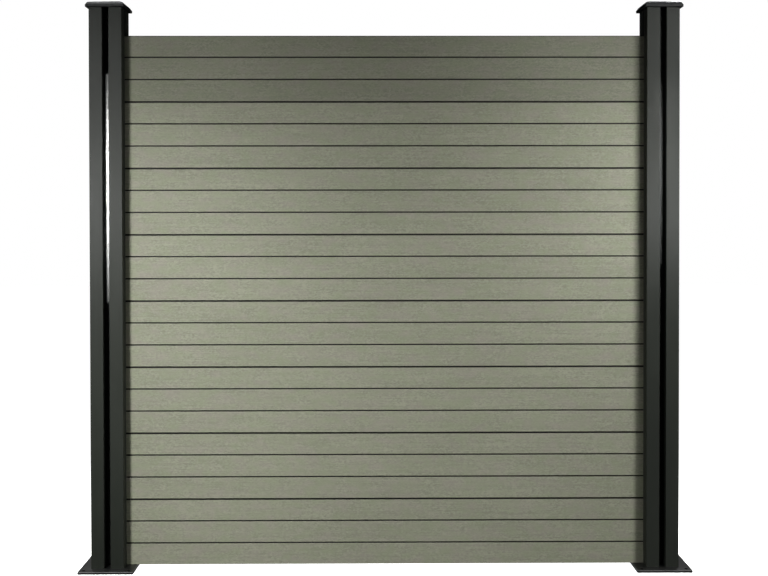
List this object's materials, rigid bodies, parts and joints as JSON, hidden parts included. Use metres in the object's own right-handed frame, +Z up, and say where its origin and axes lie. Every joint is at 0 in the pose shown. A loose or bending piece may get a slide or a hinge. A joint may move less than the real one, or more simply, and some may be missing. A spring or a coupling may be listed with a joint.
{
  "type": "composite fence bay",
  "caption": "Free-standing fence bay: hollow tongue-and-groove composite boards stacked on edge between capped, slotted posts on bolt-down base plates.",
  "frame": {"origin": "on the ground, midway between the two posts and midway through their depth", "axes": "+X along the fence from the left post to the right post, -Y towards the front face, +Z up"},
  "size_m": [2.055, 0.185, 1.915],
  "materials": {
    "board": "matte",
    "post": "matte",
    "base_plate": "satin",
    "cap": "matte"
  },
  "bodies": {
    "root": {"board_1": "board", "board_2": "board", "board_3": "board", "board_4": "board", "board_5": "board", "board_6": "board", "board_7": "board", "board_8": "board", "left_post": "post", "right_post": "post", "left_base_plate": "base_plate", "right_base_plate": "base_plate", "left_post_cap": "cap", "right_post_cap": "cap"}
  },
  "joints": []
}
